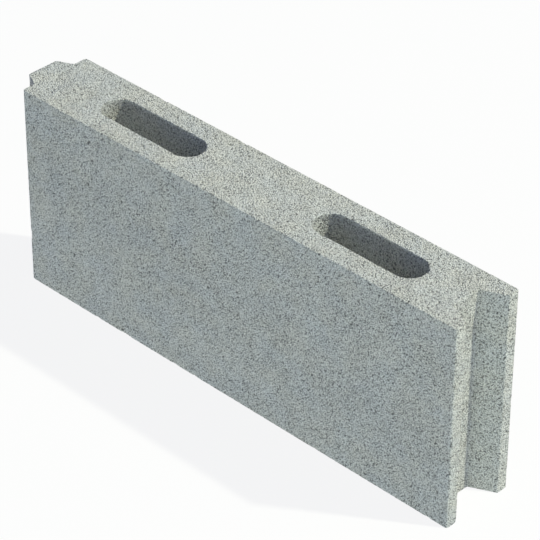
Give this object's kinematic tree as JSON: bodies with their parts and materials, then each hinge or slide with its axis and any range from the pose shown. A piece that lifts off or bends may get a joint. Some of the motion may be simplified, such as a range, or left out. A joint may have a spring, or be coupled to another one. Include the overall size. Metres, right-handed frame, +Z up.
{
  "type": "concrete partition block",
  "caption": "Upright concrete partition block with a tongue on one end, a matching groove on the other and slots through its height.",
  "frame": {"origin": "centre of the overall outline, tongue included, on the lower bed", "axes": "+X along the length towards the groove, +Y across the thickness, +Z up through the slots"},
  "size_m": [0.5156, 0.075, 0.2],
  "materials": {
    "concrete": "rough fine-grained grey concrete with small open pores"
  },
  "bodies": {
    "root": {"concrete_block": "concrete"}
  },
  "joints": []
}
